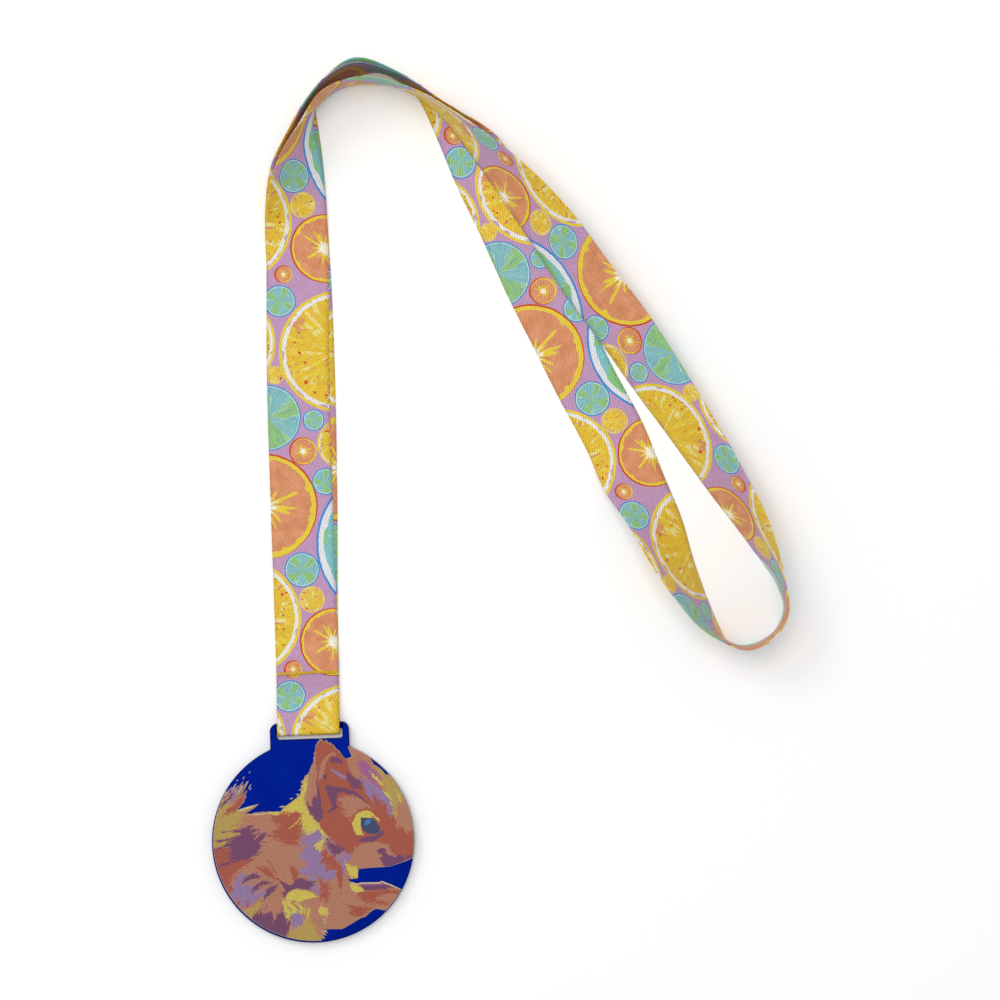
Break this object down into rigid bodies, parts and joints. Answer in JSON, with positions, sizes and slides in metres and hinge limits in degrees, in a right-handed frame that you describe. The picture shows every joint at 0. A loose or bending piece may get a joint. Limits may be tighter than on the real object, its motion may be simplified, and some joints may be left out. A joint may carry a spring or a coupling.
{
  "type": "medal on a neck ribbon",
  "caption": "Round blue metal medal with a raised squirrel motif, on a citrus-printed satin neck ribbon sewn through its slotted tab.",
  "frame": {"origin": "centre of the round disc's back face, on the table that the medal lies on", "axes": "+X along the ribbon slot, +Y from the disc's centre towards the ribbon, +Z out of the disc's front face"},
  "size_m": [0.1867, 0.2815, 0.0233],
  "materials": {
    "medal_blue": "satin royal blue plating over a zinc casting",
    "motif_print": "matte multi-colour print on the raised casting",
    "ribbon_satin": "polyester satin, mauve with printed citrus slices",
    "seam_thread": "golden yellow sewing thread"
  },
  "bodies": {
    "ribbon": {"ribbon": "ribbon_satin", "seam_thread": "seam_thread"},
    "medal": {"medal_body": "medal_blue", "squirrel_motif": "motif_print"}
  },
  "joints": [
    {"name": "medal_swing", "type": "hinge", "parent": "ribbon", "child": "medal", "pos_m": [0, 0.0371, 0.0016], "axis": [-1, 0, 0], "range_deg": [-130, 130]}
  ]
}
